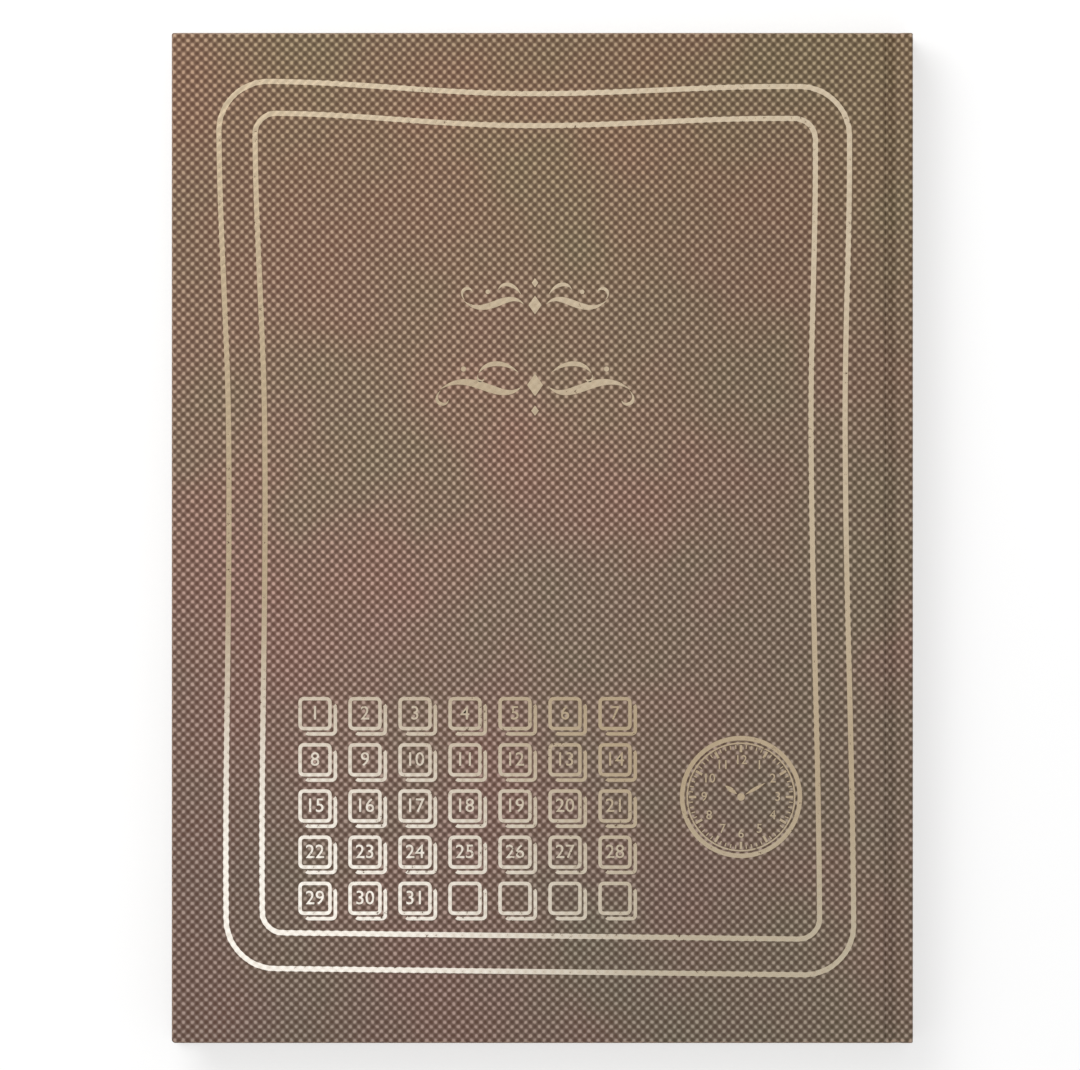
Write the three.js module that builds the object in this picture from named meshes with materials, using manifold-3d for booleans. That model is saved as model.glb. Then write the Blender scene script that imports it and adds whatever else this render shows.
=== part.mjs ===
// Appointment book: a case-bound register with cloth-covered boards, sewn signatures and a stamped front.
// Millimetres, +Z up. The closed book lies on its back cover, with its head towards +Y and its spine at +X.
// The origin is the middle of the back cover's outer face.
import * as THREE from "three";
import { mergeVertices } from "three/addons/utils/BufferGeometryUtils.js";
import Module from "manifold-3d";

// Case: boards, cloth and spine
const caseWidth = 213.6;
const caseHeight = 291;
const boardThickness = 2.2;
const clothThickness = 0.45;
const spineBoardThickness = 1.8;
const boardCornerRadius = 1.4;
const spineInnerRadius = 0.5; // of the spine board's two outer corners
const spineCornerSteps = 6;
const jointWidth = 7.8; // from the spine's outer face to the boards' hinge edges
const grooveDepth = 1.2;
const grooveShoulder = 2.5; // flat cloth between the spine's outer face and the groove
const grooveSteps = 16;
const turnIn = 15; // cloth folded over the boards' inner faces

// Text block and endpapers
const paperThickness = 0.1;
const endpaperThickness = 0.14;
const leavesPerSignature = 8;
const signatureCount = 12;
const headSquare = 3; // how far the boards stand past the head and the tail of the leaves
const foreEdgeSquare = 3.4;

// Spine linings, sewing and headbands
const kraftThickness = 0.2;
const kraftInset = 4;
const mullThickness = 0.25;
const mullInset = 15;
const mullFlange = 28; // mull glued to each board's inner face
const threadThickness = 0.5;
const threadWidth = 1.2;
const sewingStations = 4;
const headbandRadius = 0.8;
const headbandTape = 0.3;
const headbandTapeLength = 12;

// Gold stamping: a line round the front cover and one inside it, each bowed in a little along its sides.
// start and end are how far in from the case's edge the outer line lies at a side's two ends, going from
// the tail up the spine and round; deepest is the share of the side at which its bow is deepest; spacing is
// from the outer line to the inner one.
const foilThickness = 0.06;
const foilLineWidth = 1.75;
const foilSideClearance = 0.05;
const stampDepth = 0.1;
const borderSpine = { start: 17.2, end: 18.4, bow: 1.7, deepest: 0.62, spacing: 9.8 };
const borderHead = { start: 15.5, end: 14, bow: 2.8, deepest: 0.53, spacing: 9.2 };
const borderForeEdge = { start: 13.6, end: 15.7, bow: 2, deepest: 0.39, spacing: 10.4 };
const borderTail = { start: 21.5, end: 19.7, bow: 0, deepest: 0.5, spacing: 10.3 };
const outerBorderRadius = 14.3;
const innerBorderRadius = 6;
const borderSideSteps = 12;
const borderCornerSteps = 7;

// Clearances
const glueLine = 0.02; // between pieces that are glued or lie on each other
const hollow = 0.15; // between the spine's lining and the loose spine of the case
const hingeClearance = 0.15; // from a hinge's axis to the pieces on both sides of it

// Heights through the closed book, from the back cover up
const coverThickness = 2 * clothThickness + boardThickness + 2 * glueLine;
const pastedownLift = coverThickness + glueLine;
const flyleafLift = pastedownLift + endpaperThickness + glueLine;
const blockLift = flyleafLift + endpaperThickness + glueLine;
const leafPitch = paperThickness + glueLine;
const signatureThickness = leavesPerSignature * leafPitch - glueLine;
const signaturePitch = signatureThickness + glueLine;
const blockThickness = signatureCount * signaturePitch - glueLine;
const caseThickness = 2 * blockLift + blockThickness;
const mullLift = pastedownLift - glueLine - mullThickness;

// Places across the book, from the fore-edge to the spine
const spineFace = caseWidth / 2;
const foreEdge = -caseWidth / 2;
const boardEdge = spineFace - jointWidth;
const hingeX = boardEdge + hingeClearance;
const jointStart = hingeX + hingeClearance;
const grooveEnd = spineFace - grooveShoulder;
const spineOuterRadius = spineInnerRadius + clothThickness + glueLine;
const spineBoardOuter = spineFace - clothThickness - glueLine;
const spineBoardInner = spineBoardOuter - spineBoardThickness;
const spineTurnInInner = spineBoardInner - glueLine - clothThickness;
const kraftOuter = spineTurnInInner - hollow;
const mullOuter = kraftOuter - kraftThickness - glueLine;
const threadOuter = mullOuter - mullThickness - glueLine;
const foldX = threadOuter - threadThickness - glueLine;
const leafForeEdge = foreEdge + foreEdgeSquare;

// Places along the book, from its middle to the head
const caseHead = caseHeight / 2;
const leafHead = caseHead - headSquare;

// Mesh making
const curveSegments = 8; // on each arc of an outline
const weldDistance = 1e-4;

const finishes = {
  cloth: { color: 0x6e5343, roughness: 0.62, metalness: 0 },
  greyboard: { color: 0x8f8b82, roughness: 0.95, metalness: 0 },
  paper: { color: 0xf3eee0, roughness: 0.9, metalness: 0 },
  endpaper: { color: 0xece4d0, roughness: 0.92, metalness: 0 },
  mull: { color: 0xdcd6c4, roughness: 1, metalness: 0 },
  kraft: { color: 0xa98a62, roughness: 0.9, metalness: 0 },
  thread: { color: 0xf2efe6, roughness: 0.8, metalness: 0 },
  headband: { color: 0xb59a5a, roughness: 0.75, metalness: 0 },
  foil: { color: 0xcdb98a, roughness: 0.32, metalness: 0.85 },
};

const wasm = await Module();
wasm.setup();

function solidOf(geometry) {
  const bare = geometry.index ? geometry.toNonIndexed() : geometry.clone();
  bare.deleteAttribute("normal");
  bare.deleteAttribute("uv");
  const merged = mergeVertices(bare, weldDistance);
  const mesh = new wasm.Mesh({
    numProp: 3,
    vertProperties: merged.attributes.position.array,
    triVerts: new Uint32Array(merged.index.array),
  });
  return new wasm.Manifold(mesh);
}

function geometryOf(solid) {
  const { vertProperties, triVerts } = solid.getMesh();
  const geometry = new THREE.BufferGeometry();
  geometry.setAttribute("position", new THREE.BufferAttribute(vertProperties, 3));
  geometry.setIndex(new THREE.BufferAttribute(triVerts, 1));
  geometry.computeVertexNormals();
  return geometry;
}

// A block between two values along each axis.
function block([x0, x1], [y0, y1], [z0, z1]) {
  const geometry = new THREE.BoxGeometry(x1 - x0, y1 - y0, z1 - z0);
  return geometry.translate((x0 + x1) / 2, (y0 + y1) / 2, (z0 + z1) / 2);
}

// A cross-section in x and z, carried along y.
function alongHeight(shape, [y0, y1]) {
  const geometry = new THREE.ExtrudeGeometry(shape, { depth: y1 - y0, bevelEnabled: false, curveSegments });
  return geometry.rotateX(Math.PI / 2).translate(0, y1, 0);
}

// A plan in x and y, carried up from z0 to z1.
function alongThickness(shape, [z0, z1]) {
  const geometry = new THREE.ExtrudeGeometry(shape, { depth: z1 - z0, bevelEnabled: false, curveSegments });
  return geometry.translate(0, 0, z0);
}

const both = (value) => [-value, value];

// Turns a span of heights above the back cover into the same span below the front cover.
const fromFront = ([z0, z1]) => [caseThickness - z1, caseThickness - z0];
const onSide = (side, span) => (side === "front" ? fromFront(span) : span);

function piece(name, geometry, finish) {
  const mesh = new THREE.Mesh(geometry, new THREE.MeshStandardMaterial(finishes[finish]));
  mesh.name = name;
  return mesh;
}

// A cover's outline: square at the hinge edge, rounded at the two fore-edge corners.
function coverPlan(inset, hingeEdge) {
  const x0 = foreEdge + inset;
  const y1 = caseHead - inset;
  const radius = Math.max(boardCornerRadius - inset, clothThickness);
  const plan = new THREE.Shape();
  plan.moveTo(hingeEdge, -y1);
  plan.lineTo(hingeEdge, y1);
  plan.lineTo(x0 + radius, y1);
  plan.absarc(x0 + radius, y1 - radius, radius, Math.PI / 2, Math.PI, false);
  plan.lineTo(x0, radius - y1);
  plan.absarc(x0 + radius, radius - y1, radius, Math.PI, 1.5 * Math.PI, false);
  plan.closePath();
  return plan;
}

// How far a side of the border bows in at a share of its length: smoothly up to its deepest place and back.
function bowAt({ bow, deepest }, share) {
  const turn = share < deepest ? share / deepest : (1 - share) / (1 - deepest);
  return (bow * (1 - Math.cos(Math.PI * turn))) / 2;
}

const borderSides = [borderSpine, borderHead, borderForeEdge, borderTail];
const outward = [[1, 0], [0, 1], [-1, 0], [0, -1]].map(([x, y]) => new THREE.Vector2(x, y));

// The four sharp corners of a border line, each where the side of the same place in borderSides ends.
function borderCorners(spacings) {
  const inset = (side, end) => side[end] + spacings * side.spacing;
  return [
    new THREE.Vector2(spineFace - inset(borderSpine, "end"), caseHead - inset(borderHead, "start")),
    new THREE.Vector2(foreEdge + inset(borderForeEdge, "start"), caseHead - inset(borderHead, "end")),
    new THREE.Vector2(foreEdge + inset(borderForeEdge, "end"), inset(borderTail, "start") - caseHead),
    new THREE.Vector2(spineFace - inset(borderSpine, "start"), inset(borderTail, "end") - caseHead),
  ];
}

// One line of the border as a closed run of points, with the outward direction at each.
function borderRun({ spacings, radius }) {
  const corners = borderCorners(spacings);
  const run = [];
  borderSides.forEach((side, index) => {
    const out = outward[index];
    const onward = outward[(index + 1) % outward.length];
    const start = corners[(index + corners.length - 1) % corners.length];
    const from = start.clone().addScaledVector(onward, radius);
    const to = corners[index].clone().addScaledVector(onward, -radius);
    for (let step = 0; step <= borderSideSteps; step++) {
      const share = step / borderSideSteps;
      const point = from.clone().lerp(to, share).addScaledVector(out, -bowAt(side, share));
      run.push({ point, out });
    }
    const centre = to.clone().addScaledVector(out, -radius);
    for (let step = 1; step < borderCornerSteps; step++) {
      const angle = ((index + step / borderCornerSteps) * Math.PI) / 2;
      const direction = new THREE.Vector2(Math.cos(angle), Math.sin(angle));
      run.push({ point: centre.clone().addScaledVector(direction, radius), out: direction });
    }
  });
  return run;
}

// The band of the given width that runs along a border line.
function borderBand(line, width) {
  const run = borderRun(line);
  const edge = (shift) => run.map(({ point, out }) => point.clone().addScaledVector(out, shift));
  const band = new THREE.Shape(edge(width / 2));
  band.holes.push(new THREE.Path(edge(-width / 2)));
  return band;
}

const borderLines = [
  { name: "foil_border_outer", spacings: 0, radius: outerBorderRadius },
  { name: "foil_border_inner", spacings: 1, radius: innerBorderRadius },
];

// Cloth over one board: the outer face, the three edges and the turn-ins on the inner face.
function coverCloth(side) {
  const past = boardEdge + turnIn;
  const boardSpan = onSide(side, [clothThickness, coverThickness - clothThickness]);
  const whole = solidOf(alongThickness(coverPlan(0, boardEdge), onSide(side, [0, coverThickness])));
  const pocket = solidOf(alongThickness(coverPlan(clothThickness, past), boardSpan));
  const window = solidOf(
    block(
      [foreEdge + turnIn, past],
      both(caseHead - turnIn),
      onSide(side, [clothThickness, coverThickness + turnIn]),
    ),
  );
  let cloth = whole.subtract(pocket).subtract(window);
  if (side === "front") {
    for (const line of borderLines) {
      const band = borderBand(line, foilLineWidth + 2 * foilSideClearance);
      cloth = cloth.subtract(solidOf(alongThickness(band, fromFront([-stampDepth, stampDepth]))));
    }
  }
  return geometryOf(cloth);
}

function cover(side) {
  const group = new THREE.Group();
  const inset = clothThickness + glueLine;
  const boardSpan = [inset, inset + boardThickness];
  group.add(
    piece(`${side}_board`, alongThickness(coverPlan(inset, boardEdge), onSide(side, boardSpan)), "greyboard"),
    piece(`${side}_cover_cloth`, coverCloth(side), "cloth"),
    piece(
      `${side}_mull_flange`,
      block(
        [boardEdge - mullFlange, boardEdge],
        both(leafHead - mullInset),
        onSide(side, [mullLift, mullLift + mullThickness]),
      ),
      "mull",
    ),
    piece(
      `${side}_pastedown`,
      block(
        [leafForeEdge, boardEdge],
        both(leafHead),
        onSide(side, [pastedownLift, pastedownLift + endpaperThickness]),
      ),
      "endpaper",
    ),
  );
  return group;
}

function foilBorder() {
  const group = new THREE.Group();
  for (const line of borderLines) {
    const band = borderBand(line, foilLineWidth);
    const low = stampDepth - glueLine - foilThickness;
    group.add(piece(line.name, alongThickness(band, fromFront([low, low + foilThickness])), "foil"));
  }
  return group;
}

// The outer face of the loose cloth, from the back joint's edge round to the flat of the spine.
// through is the direction into the cloth at each point.
function looseClothRun() {
  const run = [];
  for (let step = 0; step <= grooveSteps; step++) {
    const share = step / grooveSteps;
    run.push({
      x: jointStart + (grooveEnd - jointStart) * share,
      z: (grooveDepth * (1 - Math.cos(2 * Math.PI * share))) / 2,
      through: [0, 1],
    });
  }
  for (let step = 0; step <= spineCornerSteps; step++) {
    const angle = ((step / spineCornerSteps) * Math.PI) / 2;
    run.push({
      x: spineFace - spineOuterRadius * (1 - Math.sin(angle)),
      z: spineOuterRadius * (1 - Math.cos(angle)),
      through: [-Math.sin(angle), Math.cos(angle)],
    });
  }
  return run;
}

const atDepth = (run, depth) => run.map(({ x, z, through: [dx, dz] }) => [x + dx * depth, z + dz * depth]);
const atFront = (points) => points.map(([x, z]) => [x, caseThickness - z]);
const shapeFrom = (points) => new THREE.Shape(points.map(([x, z]) => new THREE.Vector2(x, z)));

// Cloth round the joints and the spine, with its turn-ins at the head and the tail.
function spineCloth() {
  const run = looseClothRun();
  const outer = atDepth(run, 0);
  const inner = atDepth(run, clothThickness);
  const outline = [...outer, ...atFront(outer).reverse(), ...atFront(inner), ...inner.reverse()];
  let cloth = solidOf(alongHeight(shapeFrom(outline), both(caseHead)));
  const groove = run.slice(0, grooveSteps + 1);
  const turned = [...atDepth(groove, clothThickness / 2), ...atDepth(groove, 2 * clothThickness).reverse()];
  const midCloth = clothThickness / 2;
  const capSection = spineBoardSection(spineFace - midCloth, spineInnerRadius, midCloth);
  const flap = [3 * clothThickness, caseThickness - 3 * clothThickness];
  for (const [near, far] of [[caseHead - turnIn, caseHead], [-caseHead, turnIn - caseHead]]) {
    const end = near > 0 ? [far - clothThickness, far] : [near, near + clothThickness];
    const parts = [
      alongHeight(shapeFrom(turned), [near, far]),
      alongHeight(shapeFrom(atFront(turned)), [near, far]),
      alongHeight(capSection, end),
      block([spineTurnInInner, spineFace - midCloth], end, flap),
      block([spineTurnInInner, spineBoardInner - glueLine], [near, far], flap),
    ];
    for (const part of parts) cloth = cloth.add(solidOf(part));
  }
  return geometryOf(cloth);
}

// The section of the spine board, or of the cloth over its ends, with its two outer corners rounded.
function spineBoardSection(outerX, radius, low) {
  const high = caseThickness - low;
  const section = new THREE.Shape();
  section.moveTo(spineBoardInner, low);
  section.lineTo(outerX - radius, low);
  section.absarc(outerX - radius, low + radius, radius, -Math.PI / 2, 0, false);
  section.absarc(outerX - radius, high - radius, radius, 0, Math.PI / 2, false);
  section.lineTo(spineBoardInner, high);
  section.closePath();
  return section;
}

function spineBoard() {
  const inset = clothThickness + glueLine;
  return alongHeight(spineBoardSection(spineBoardOuter, spineInnerRadius, inset), both(caseHead - inset));
}

// Mull glued over the sewn folds and out over both joints.
function mull() {
  const [low, high] = [mullLift, mullLift + mullThickness];
  const section = shapeFrom([
    [jointStart, low],
    [mullOuter, low],
    [mullOuter, caseThickness - low],
    [jointStart, caseThickness - low],
    [jointStart, caseThickness - high],
    [mullOuter - mullThickness, caseThickness - high],
    [mullOuter - mullThickness, high],
    [jointStart, high],
  ]);
  return alongHeight(section, both(leafHead - mullInset));
}

function kraftLining() {
  return block(
    [kraftOuter - kraftThickness, kraftOuter],
    both(leafHead - kraftInset),
    [blockLift, caseThickness - blockLift],
  );
}

// The link stitches of one sewing station: a bead of thread on each signature's fold.
function sewingThread(y) {
  const inner = foldX + glueLine;
  const shape = new THREE.Shape();
  shape.moveTo(inner, blockLift);
  for (let count = 0; count < signatureCount; count++) {
    const low = blockLift + count * signaturePitch;
    shape.lineTo(inner + threadThickness / 2, low);
    shape.quadraticCurveTo(
      inner + 1.5 * threadThickness,
      low + signatureThickness / 2,
      inner + threadThickness / 2,
      low + signatureThickness,
    );
  }
  shape.lineTo(inner, blockLift + blockThickness);
  shape.closePath();
  return alongHeight(shape, [y - threadWidth / 2, y + threadWidth / 2]);
}

// A beaded tape glued to the folds at the head or the tail.
function headband(end) {
  const inner = foldX + glueLine;
  const beadX = inner + headbandTape - headbandRadius;
  const beadY = leafHead + glueLine + headbandRadius;
  const plan = new THREE.Shape();
  plan.moveTo(inner, leafHead - headbandTapeLength);
  plan.lineTo(inner + headbandTape, leafHead - headbandTapeLength);
  plan.lineTo(inner + headbandTape, beadY);
  plan.absarc(beadX, beadY, headbandRadius, 0, 1.5 * Math.PI, false);
  plan.lineTo(inner, leafHead + glueLine);
  plan.closePath();
  const geometry = alongThickness(plan, [blockLift, blockLift + blockThickness]);
  if (end === "tail") geometry.rotateX(Math.PI).translate(0, 0, caseThickness);
  return geometry;
}

// The folded endpaper in the joint: the layers of the pastedown and the flyleaf, joined at their fold.
function endpaperFold(side) {
  const level = (z) => (side === "front" ? caseThickness - z : z);
  const outer = pastedownLift;
  const inner = flyleafLift + endpaperThickness;
  return alongHeight(
    shapeFrom([
      [jointStart, level(outer)],
      [foldX, level(outer)],
      [foldX, level(inner)],
      [jointStart, level(inner)],
      [jointStart, level(flyleafLift)],
      [foldX - endpaperThickness, level(flyleafLift)],
      [foldX - endpaperThickness, level(outer + endpaperThickness)],
      [jointStart, level(outer + endpaperThickness)],
    ]),
    both(leafHead),
  );
}

// A folded signature from x0 to its rounded fold at the spine.
function signature(x0, low) {
  const radius = signatureThickness / 2;
  const shape = new THREE.Shape();
  shape.moveTo(x0, low);
  shape.lineTo(foldX - radius, low);
  shape.absarc(foldX - radius, low + radius, radius, -Math.PI / 2, Math.PI / 2, false);
  shape.lineTo(x0, low + signatureThickness);
  shape.closePath();
  return alongHeight(shape, both(leafHead));
}

function turningLeaf([z0, z1]) {
  return block([leafForeEdge, boardEdge], both(leafHead), [z0, z1]);
}

const twoDigits = (count) => String(count).padStart(2, "0");

// The leaves of the signature next to a cover, numbered through the book from the front cover.
function turningLeaves(side) {
  const group = new THREE.Group();
  const lastNumber = signatureCount * leavesPerSignature;
  for (let place = 0; place < leavesPerSignature; place++) {
    const lift = blockLift + place * leafPitch;
    const number = side === "front" ? place + 1 : lastNumber - place;
    const geometry = turningLeaf(onSide(side, [lift, lift + paperThickness]));
    group.add(piece(`leaf_${twoDigits(number)}`, geometry, "paper"));
  }
  return group;
}

// The signatures from the front cover to the back cover; the first and the last are opened into leaves,
// so only their folds are here.
function signatures() {
  const group = new THREE.Group();
  for (let number = 1; number <= signatureCount; number++) {
    const low = blockLift + (signatureCount - number) * signaturePitch;
    const opened = number === 1 || number === signatureCount;
    const name = `signature_${twoDigits(number)}${opened ? "_fold" : ""}`;
    group.add(piece(name, signature(opened ? jointStart : leafForeEdge, low), "paper"));
  }
  return group;
}

function sewing() {
  const group = new THREE.Group();
  for (let station = 0; station < sewingStations; station++) {
    const y = leafHead * ((2 * station + 1) / sewingStations - 1);
    group.add(piece(`sewing_thread_${station + 1}`, sewingThread(y), "thread"));
  }
  return group;
}

function spine() {
  const group = new THREE.Group();
  group.add(
    piece("headband", headband("head"), "headband"),
    piece("tailband", headband("tail"), "headband"),
    piece("mull_lining", mull(), "mull"),
    piece("kraft_lining", kraftLining(), "kraft"),
    piece("spine_board", spineBoard(), "greyboard"),
    piece("spine_cloth", spineCloth(), "cloth"),
  );
  return group;
}

const book = new THREE.Group();
book.name = "appointment_book";
book.add(signatures(), sewing(), spine(), foilBorder());
for (const side of ["front", "back"]) {
  const flyleafSpan = onSide(side, [flyleafLift, flyleafLift + endpaperThickness]);
  book.add(
    cover(side),
    piece(`${side}_endpaper_fold`, endpaperFold(side), "endpaper"),
    piece(`${side}_flyleaf`, turningLeaf(flyleafSpan), "endpaper"),
    turningLeaves(side),
  );
}

export default book;
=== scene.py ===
"""Appointment book: embossed covering, gold stamping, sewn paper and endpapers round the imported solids.

Sizes are written in millimetres and turned into metres when a piece is finished. The closed book lies on
its back cover with its head towards +Y and its spine at +X.
"""

from math import copysign, cos, hypot, pi, radians, sin

import bmesh
import bpy
import numpy as np
from bmesh import ops
from mathutils import Matrix, Vector


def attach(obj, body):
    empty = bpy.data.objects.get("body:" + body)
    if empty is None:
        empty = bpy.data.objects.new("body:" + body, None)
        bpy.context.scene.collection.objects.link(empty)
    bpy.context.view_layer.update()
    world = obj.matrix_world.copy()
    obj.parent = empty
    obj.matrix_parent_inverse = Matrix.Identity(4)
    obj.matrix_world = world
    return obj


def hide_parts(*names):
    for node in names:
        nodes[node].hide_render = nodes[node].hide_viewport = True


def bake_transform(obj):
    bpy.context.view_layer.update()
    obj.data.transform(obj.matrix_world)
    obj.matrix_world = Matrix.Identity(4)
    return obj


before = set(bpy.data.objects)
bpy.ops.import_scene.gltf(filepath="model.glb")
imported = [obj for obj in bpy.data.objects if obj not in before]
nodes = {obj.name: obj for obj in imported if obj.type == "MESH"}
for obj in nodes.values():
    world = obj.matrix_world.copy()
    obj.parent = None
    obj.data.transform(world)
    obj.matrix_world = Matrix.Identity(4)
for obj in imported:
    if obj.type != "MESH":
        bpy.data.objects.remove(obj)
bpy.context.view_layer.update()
scene = bpy.context.scene

METRES = 0.001
SIDES = ("front", "back")
ENDS = (1, -1)

# Case
CASE_WIDTH = 213.6
CASE_HEIGHT = 291.0
CASE_THICKNESS = 18.46
COVER_THICKNESS = 3.14
SPINE_FACE = CASE_WIDTH / 2
FORE_EDGE = -CASE_WIDTH / 2
HEAD = CASE_HEIGHT / 2
BOARD_EDGE = 99.0
HINGE_X = 99.15
JOINT_START = 99.3
GROOVE_END = 104.3
GROOVE_DEPTH = 1.2
SPINE_CORNER_RADIUS = 0.97
TURN_IN = 15.0

# Text block
LEAF_FORE_EDGE = -103.4
LEAF_HEAD = 142.5
FOLD_X = 102.9
PAPER = 0.1
ENDPAPER = 0.14
LEAF_PITCH = 0.12
LEAVES_PER_SIGNATURE = 8
SIGNATURE_COUNT = 12
SIGNATURE_THICKNESS = 0.94
SIGNATURE_PITCH = 0.96
PASTEDOWN_LIFT = 3.16
FLYLEAF_LIFT = 3.32
BLOCK_LIFT = 3.48
BLOCK_THICKNESS = 11.5

# ---- camera
PHOTO_WIDTH = 1080
COVER_MIDDLE = (542.5, 538)
MM_PER_PIXEL = 0.288
SENSOR_WIDTH = 36
CAMERA_HEIGHT = 2000.0
CAMERA_OFFSET = (-0.72, 0.86)


def in_scene(name, data):
    """A new object with this data."""
    made = bpy.data.objects.new(name, data)
    scene.collection.objects.link(made)
    return made


camera_data = bpy.data.cameras.new("camera")
camera_data.sensor_width = SENSOR_WIDTH
camera_data.lens = SENSOR_WIDTH * CAMERA_HEIGHT / (PHOTO_WIDTH * MM_PER_PIXEL)
camera_data.clip_end = 20
camera = in_scene("camera", camera_data)
camera.location = Vector((*CAMERA_OFFSET, CASE_THICKNESS + CAMERA_HEIGHT)) * METRES
scene.camera = camera


def photo_place(column, row):
    """The place on the cover, in millimetres, that a pixel of the photograph's frame shows."""
    return (column - COVER_MIDDLE[0]) * MM_PER_PIXEL, (COVER_MIDDLE[1] - row) * MM_PER_PIXEL


# ---- embossing
# A staggered lattice of raised dots on the covering, the same function for the relief and the colours.
EDGE_ROUND = 0.8
FACE_WIDTH = BOARD_EDGE - FORE_EDGE - EDGE_ROUND
FACE_HEIGHT = CASE_HEIGHT - 2 * EDGE_ROUND
DOT_COLUMNS = 158
DOT_ROWS = 220
HALF_DOT_X = FACE_WIDTH / DOT_COLUMNS
HALF_DOT_Y = FACE_HEIGHT / DOT_ROWS
RELIEF = 0.1
RELIEF_TOP = 0.03
RELIEF_MEAN = RELIEF_TOP + RELIEF / 2
DOT_SOFTNESS = 1.75
DOT_EDGE = (0.62, 0.8)
DOT_CROWN = 0.3


def embossing(u, v):
    """1 on a dot, -1 in the hollow between dots."""
    return cos(pi * (u - BOARD_EDGE) / HALF_DOT_X) * cos(pi * v / HALF_DOT_Y)


def relief_depth(u, v):
    return RELIEF_TOP + RELIEF * (1 - embossing(u, v)) / 2


# ---- node helpers
def linear_colour(parts):
    """A linear colour from its 8-bit parts as they show on a screen."""
    shares = [part / 255 for part in parts]
    return (*(share / 12.92 if share <= 0.04045 else ((share + 0.055) / 1.055) ** 2.4 for share in shares), 1)


class Nodes:
    """Adds nodes to a tree. A value is a number, a vector, a colour or another node's output.

    A colour of three parts is given in 8 bits as it shows on a screen, and one of four parts is linear.
    """

    def __init__(self, tree):
        self.tree = tree

    def put(self, socket, value):
        if isinstance(value, bpy.types.NodeSocket):
            self.tree.links.new(value, socket)
        elif socket.type == "RGBA" and len(value) == 3:
            socket.default_value = linear_colour(value)
        else:
            socket.default_value = value

    def feed(self, made, **inputs):
        """Gives values to a node's inputs, which are named with _ for a space."""
        for name, value in inputs.items():
            self.put(made.inputs[name.replace("_", " ")], value)

    def add(self, kind, inputs=(), **settings):
        made = self.tree.nodes.new(kind)
        for name, value in settings.items():
            setattr(made, name, value)
        for name, value in dict(inputs).items():
            self.put(made.inputs[name], value)
        return made

    def ordered(self, kind, values, **settings):
        """Adds a node whose first inputs take the values in turn."""
        made = self.add(kind, **settings)
        for socket, value in zip(made.inputs, values):
            self.put(socket, value)
        return made.outputs[0]

    def math(self, operation, *values, clamp=False):
        return self.ordered("ShaderNodeMath", values, operation=operation, use_clamp=clamp)

    def plus(self, first, second, clamp=False):
        return self.math("ADD", first, second, clamp=clamp)

    def minus(self, first, second):
        return self.math("SUBTRACT", first, second)

    def times(self, first, second, clamp=False):
        return self.math("MULTIPLY", first, second, clamp=clamp)

    def linear(self, value, slope, start, clamp=False):
        """The value times the slope, plus the start."""
        return self.math("MULTIPLY_ADD", value, slope, start, clamp=clamp)

    def vector(self, operation, *values):
        return self.ordered("ShaderNodeVectorMath", values, operation=operation)

    def stretched(self, vector, ways):
        return self.vector("MULTIPLY", vector, ways)

    def scaled(self, vector, share):
        made = self.add("ShaderNodeVectorMath", {"Scale": share}, operation="SCALE")
        self.put(made.inputs[0], vector)
        return made.outputs[0]

    def parts(self, vector):
        """A vector's X, Y and Z."""
        return self.add("ShaderNodeSeparateXYZ", {"Vector": vector}).outputs

    def mix(self, share, first, second):
        made = self.add("ShaderNodeMix", data_type="RGBA")
        for index, value in ((0, share), (6, first), (7, second)):
            self.put(made.inputs[index], value)
        return made.outputs[2]

    def ramp(self, value, low, high, to_low=0.0, to_high=1.0):
        made = self.add(
            "ShaderNodeMapRange",
            {"Value": value, "From Min": low, "From Max": high, "To Min": to_low, "To Max": to_high},
            interpolation_type="SMOOTHSTEP",
        )
        return made.outputs["Result"]

    def noise(self, place, scale, detail=2.0, roughness=0.5, output="Fac"):
        inputs = {"Vector": place, "Scale": scale, "Detail": detail, "Roughness": roughness}
        return self.add("ShaderNodeTexNoise", inputs).outputs[output]

    def stored(self, name):
        """A value that is stored on the mesh."""
        return self.add("ShaderNodeAttribute", attribute_name=name).outputs["Fac"]

    def group(self, tree, **inputs):
        made = self.add("ShaderNodeGroup", node_tree=tree)
        self.feed(made, **inputs)
        return made.outputs


def effect(name, numbers, outputs):
    """A shader node group that gives named values from a place in millimetres and named numbers."""
    tree = bpy.data.node_groups.new(name, "ShaderNodeTree")
    tree.interface.new_socket("Place", in_out="INPUT", socket_type="NodeSocketVector")
    for label, value in numbers.items():
        tree.interface.new_socket(label, in_out="INPUT", socket_type="NodeSocketFloat").default_value = value
    for label in outputs:
        tree.interface.new_socket(label, in_out="OUTPUT", socket_type="NodeSocketFloat")
    given, out = tree.nodes.new("NodeGroupInput"), tree.nodes.new("NodeGroupOutput")
    return tree, Nodes(tree), given.outputs, out.inputs


# ---- shared effects
FIBRE_STRETCHES = ((1.0, 3.2, 3.2), (3.2, 1.0, 3.2))


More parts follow.
